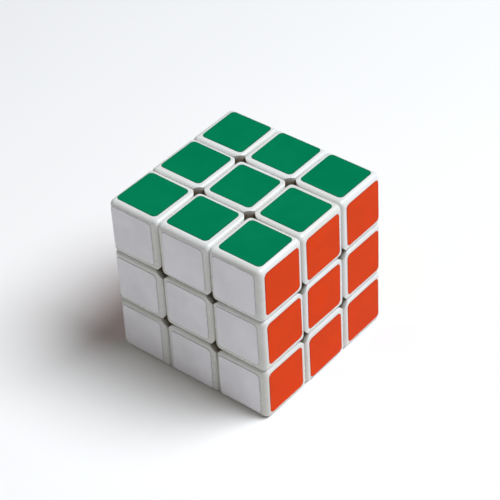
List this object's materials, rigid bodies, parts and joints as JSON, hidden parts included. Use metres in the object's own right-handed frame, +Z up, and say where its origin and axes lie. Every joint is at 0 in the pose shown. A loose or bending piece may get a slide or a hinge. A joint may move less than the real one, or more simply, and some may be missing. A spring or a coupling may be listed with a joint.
{
  "type": "twisty puzzle cube",
  "caption": "Palm-sized twisty puzzle cube: rows of square cubelets in white plastic that turn about six faces on a sprung core, each face carrying square stickers.",
  "frame": {"origin": "middle of the down face, on the surface the cube stands on", "axes": "+Z up through the up face, +X through the right face, -Y through the front face"},
  "size_m": [0.057, 0.057, 0.057],
  "materials": {
    "white_plastic": "glossy moulded ABS",
    "core_plastic": "plain moulded",
    "screw_steel": "zinc plated",
    "spring_steel": "bright drawn wire",
    "sticker_green": "satin vinyl film",
    "sticker_white": "satin vinyl film",
    "sticker_orange": "satin vinyl film",
    "sticker_blue": "satin vinyl film",
    "sticker_yellow": "satin vinyl film",
    "sticker_red": "satin vinyl film"
  },
  "bodies": {
    "core": {"core": "core_plastic", "screw_up": "screw_steel", "screw_down": "screw_steel", "screw_front": "screw_steel", "screw_back": "screw_steel", "screw_left": "screw_steel", "screw_right": "screw_steel"},
    "up_spindle": {"washer_up": "spring_steel", "spring_up": "spring_steel"},
    "up_centre": {"centre_base_up": "white_plastic", "centre_cap_up": "white_plastic"},
    "down_spindle": {"washer_down": "spring_steel", "spring_down": "spring_steel"},
    "down_centre": {"centre_base_down": "white_plastic", "centre_cap_down": "white_plastic"},
    "front_spindle": {"washer_front": "spring_steel", "spring_front": "spring_steel"},
    "front_centre": {"centre_base_front": "white_plastic", "centre_cap_front": "white_plastic"},
    "back_spindle": {"washer_back": "spring_steel", "spring_back": "spring_steel"},
    "back_centre": {"centre_base_back": "white_plastic", "centre_cap_back": "white_plastic"},
    "left_spindle": {"washer_left": "spring_steel", "spring_left": "spring_steel"},
    "left_centre": {"centre_base_left": "white_plastic", "centre_cap_left": "white_plastic"},
    "right_spindle": {"washer_right": "spring_steel", "spring_right": "spring_steel"},
    "right_centre": {"centre_base_right": "white_plastic", "centre_cap_right": "white_plastic"},
    "edge_up_front": {"edge_up_front": "white_plastic"},
    "edge_up_back": {"edge_up_back": "white_plastic"},
    "edge_down_front": {"edge_down_front": "white_plastic"},
    "edge_down_back": {"edge_down_back": "white_plastic"},
    "edge_up_left": {"edge_up_left": "white_plastic"},
    "edge_up_right": {"edge_up_right": "white_plastic"},
    "edge_down_left": {"edge_down_left": "white_plastic"},
    "edge_down_right": {"edge_down_right": "white_plastic"},
    "edge_front_left": {"edge_front_left": "white_plastic"},
    "edge_front_right": {"edge_front_right": "white_plastic"},
    "edge_back_left": {"edge_back_left": "white_plastic"},
    "edge_back_right": {"edge_back_right": "white_plastic"},
    "corner_up_front_left": {"corner_shell_up_front_left": "white_plastic", "corner_foot_up_front_left": "white_plastic"},
    "corner_up_front_right": {"corner_shell_up_front_right": "white_plastic", "corner_foot_up_front_right": "white_plastic"},
    "corner_up_back_left": {"corner_shell_up_back_left": "white_plastic", "corner_foot_up_back_left": "white_plastic"},
    "corner_up_back_right": {"corner_shell_up_back_right": "white_plastic", "corner_foot_up_back_right": "white_plastic"},
    "corner_down_front_left": {"corner_shell_down_front_left": "white_plastic", "corner_foot_down_front_left": "white_plastic"},
    "corner_down_front_right": {"corner_shell_down_front_right": "white_plastic", "corner_foot_down_front_right": "white_plastic"},
    "corner_down_back_left": {"corner_shell_down_back_left": "white_plastic", "corner_foot_down_back_left": "white_plastic"},
    "corner_down_back_right": {"corner_shell_down_back_right": "white_plastic", "corner_foot_down_back_right": "white_plastic"}
  },
  "joints": [
    {"name": "up_turn", "type": "hinge", "parent": "core", "child": "up_spindle", "pos_m": [0, 0, 0.0285], "axis": [0, 0, 1], "continuous": true},
    {"name": "up_float", "type": "slide", "parent": "up_spindle", "child": "up_centre", "axis": [0, 0, 1], "range_m": [0, 0.001], "stiffness_N_per_m": 300, "springref_m": -0.0005, "deforming": ["spring_up"]},
    {"name": "down_turn", "type": "hinge", "parent": "core", "child": "down_spindle", "pos_m": [0, 0, 0.0285], "axis": [0, 0, -1], "continuous": true},
    {"name": "down_float", "type": "slide", "parent": "down_spindle", "child": "down_centre", "axis": [0, 0, -1], "range_m": [0, 0.001], "stiffness_N_per_m": 300, "springref_m": -0.0005, "deforming": ["spring_down"]},
    {"name": "front_turn", "type": "hinge", "parent": "core", "child": "front_spindle", "pos_m": [0, 0, 0.0285], "axis": [0, -1, 0], "continuous": true},
    {"name": "front_float", "type": "slide", "parent": "front_spindle", "child": "front_centre", "axis": [0, -1, 0], "range_m": [0, 0.001], "stiffness_N_per_m": 300, "springref_m": -0.0005, "deforming": ["spring_front"]},
    {"name": "back_turn", "type": "hinge", "parent": "core", "child": "back_spindle", "pos_m": [0, 0, 0.0285], "axis": [0, 1, 0], "continuous": true},
    {"name": "back_float", "type": "slide", "parent": "back_spindle", "child": "back_centre", "axis": [0, 1, 0], "range_m": [0, 0.001], "stiffness_N_per_m": 300, "springref_m": -0.0005, "deforming": ["spring_back"]},
    {"name": "left_turn", "type": "hinge", "parent": "core", "child": "left_spindle", "pos_m": [0, 0, 0.0285], "axis": [-1, 0, 0], "continuous": true},
    {"name": "left_float", "type": "slide", "parent": "left_spindle", "child": "left_centre", "axis": [-1, 0, 0], "range_m": [0, 0.001], "stiffness_N_per_m": 300, "springref_m": -0.0005, "deforming": ["spring_left"]},
    {"name": "right_turn", "type": "hinge", "parent": "core", "child": "right_spindle", "pos_m": [0, 0, 0.0285], "axis": [1, 0, 0], "continuous": true},
    {"name": "right_float", "type": "slide", "parent": "right_spindle", "child": "right_centre", "axis": [1, 0, 0], "range_m": [0, 0.001], "stiffness_N_per_m": 300, "springref_m": -0.0005, "deforming": ["spring_right"]},
    {"name": "edge_up_front_turn", "type": "hinge", "parent": "up_spindle", "child": "edge_up_front", "pos_m": [0, 0, 0.0285], "axis": [0, -1, 0], "continuous": true},
    {"name": "edge_up_back_turn", "type": "hinge", "parent": "up_spindle", "child": "edge_up_back", "pos_m": [0, 0, 0.0285], "axis": [0, 1, 0], "continuous": true},
    {"name": "edge_down_front_turn", "type": "hinge", "parent": "down_spindle", "child": "edge_down_front", "pos_m": [0, 0, 0.0285], "axis": [0, -1, 0], "continuous": true},
    {"name": "edge_down_back_turn", "type": "hinge", "parent": "down_spindle", "child": "edge_down_back", "pos_m": [0, 0, 0.0285], "axis": [0, 1, 0], "continuous": true},
    {"name": "edge_up_left_turn", "type": "hinge", "parent": "left_spindle", "child": "edge_up_left", "pos_m": [0, 0, 0.0285], "axis": [0, 0, 1], "continuous": true},
    {"name": "edge_up_right_turn", "type": "hinge", "parent": "right_spindle", "child": "edge_up_right", "pos_m": [0, 0, 0.0285], "axis": [0, 0, 1], "continuous": true},
    {"name": "edge_down_left_turn", "type": "hinge", "parent": "left_spindle", "child": "edge_down_left", "pos_m": [0, 0, 0.0285], "axis": [0, 0, -1], "continuous": true},
    {"name": "edge_down_right_turn", "type": "hinge", "parent": "right_spindle", "child": "edge_down_right", "pos_m": [0, 0, 0.0285], "axis": [0, 0, -1], "continuous": true},
    {"name": "edge_front_left_turn", "type": "hinge", "parent": "front_spindle", "child": "edge_front_left", "pos_m": [0, 0, 0.0285], "axis": [-1, 0, 0], "continuous": true},
    {"name": "edge_front_right_turn", "type": "hinge", "parent": "front_spindle", "child": "edge_front_right", "pos_m": [0, 0, 0.0285], "axis": [1, 0, 0], "continuous": true},
    {"name": "edge_back_left_turn", "type": "hinge", "parent": "back_spindle", "child": "edge_back_left", "pos_m": [0, 0, 0.0285], "axis": [-1, 0, 0], "continuous": true},
    {"name": "edge_back_right_turn", "type": "hinge", "parent": "back_spindle", "child": "edge_back_right", "pos_m": [0, 0, 0.0285], "axis": [1, 0, 0], "continuous": true},
    {"name": "corner_up_front_left_turn", "type": "hinge", "parent": "edge_up_front", "child": "corner_up_front_left", "pos_m": [0, 0, 0.0285], "axis": [-1, 0, 0], "continuous": true},
    {"name": "corner_up_front_right_turn", "type": "hinge", "parent": "edge_up_front", "child": "corner_up_front_right", "pos_m": [0, 0, 0.0285], "axis": [1, 0, 0], "continuous": true},
    {"name": "corner_up_back_left_turn", "type": "hinge", "parent": "edge_up_back", "child": "corner_up_back_left", "pos_m": [0, 0, 0.0285], "axis": [-1, 0, 0], "continuous": true},
    {"name": "corner_up_back_right_turn", "type": "hinge", "parent": "edge_up_back", "child": "corner_up_back_right", "pos_m": [0, 0, 0.0285], "axis": [1, 0, 0], "continuous": true},
    {"name": "corner_down_front_left_turn", "type": "hinge", "parent": "edge_down_front", "child": "corner_down_front_left", "pos_m": [0, 0, 0.0285], "axis": [-1, 0, 0], "continuous": true},
    {"name": "corner_down_front_right_turn", "type": "hinge", "parent": "edge_down_front", "child": "corner_down_front_right", "pos_m": [0, 0, 0.0285], "axis": [1, 0, 0], "continuous": true},
    {"name": "corner_down_back_left_turn", "type": "hinge", "parent": "edge_down_back", "child": "corner_down_back_left", "pos_m": [0, 0, 0.0285], "axis": [-1, 0, 0], "continuous": true},
    {"name": "corner_down_back_right_turn", "type": "hinge", "parent": "edge_down_back", "child": "corner_down_back_right", "pos_m": [0, 0, 0.0285], "axis": [1, 0, 0], "continuous": true}
  ],
  "couplings": [
    {"joint": "edge_up_front_turn", "follows": "front_turn", "ratio": 1},
    {"joint": "edge_up_back_turn", "follows": "back_turn", "ratio": 1},
    {"joint": "edge_down_front_turn", "follows": "front_turn", "ratio": 1},
    {"joint": "edge_down_back_turn", "follows": "back_turn", "ratio": 1},
    {"joint": "edge_up_left_turn", "follows": "up_turn", "ratio": 1},
    {"joint": "edge_up_right_turn", "follows": "up_turn", "ratio": 1},
    {"joint": "edge_down_left_turn", "follows": "down_turn", "ratio": 1},
    {"joint": "edge_down_right_turn", "follows": "down_turn", "ratio": 1},
    {"joint": "edge_front_left_turn", "follows": "left_turn", "ratio": 1},
    {"joint": "edge_front_right_turn", "follows": "right_turn", "ratio": 1},
    {"joint": "edge_back_left_turn", "follows": "left_turn", "ratio": 1},
    {"joint": "edge_back_right_turn", "follows": "right_turn", "ratio": 1},
    {"joint": "corner_up_front_left_turn", "follows": "left_turn", "ratio": 1},
    {"joint": "corner_up_front_right_turn", "follows": "right_turn", "ratio": 1},
    {"joint": "corner_up_back_left_turn", "follows": "left_turn", "ratio": 1},
    {"joint": "corner_up_back_right_turn", "follows": "right_turn", "ratio": 1},
    {"joint": "corner_down_front_left_turn", "follows": "left_turn", "ratio": 1},
    {"joint": "corner_down_front_right_turn", "follows": "right_turn", "ratio": 1},
    {"joint": "corner_down_back_left_turn", "follows": "left_turn", "ratio": 1},
    {"joint": "corner_down_back_right_turn", "follows": "right_turn", "ratio": 1}
  ]
}
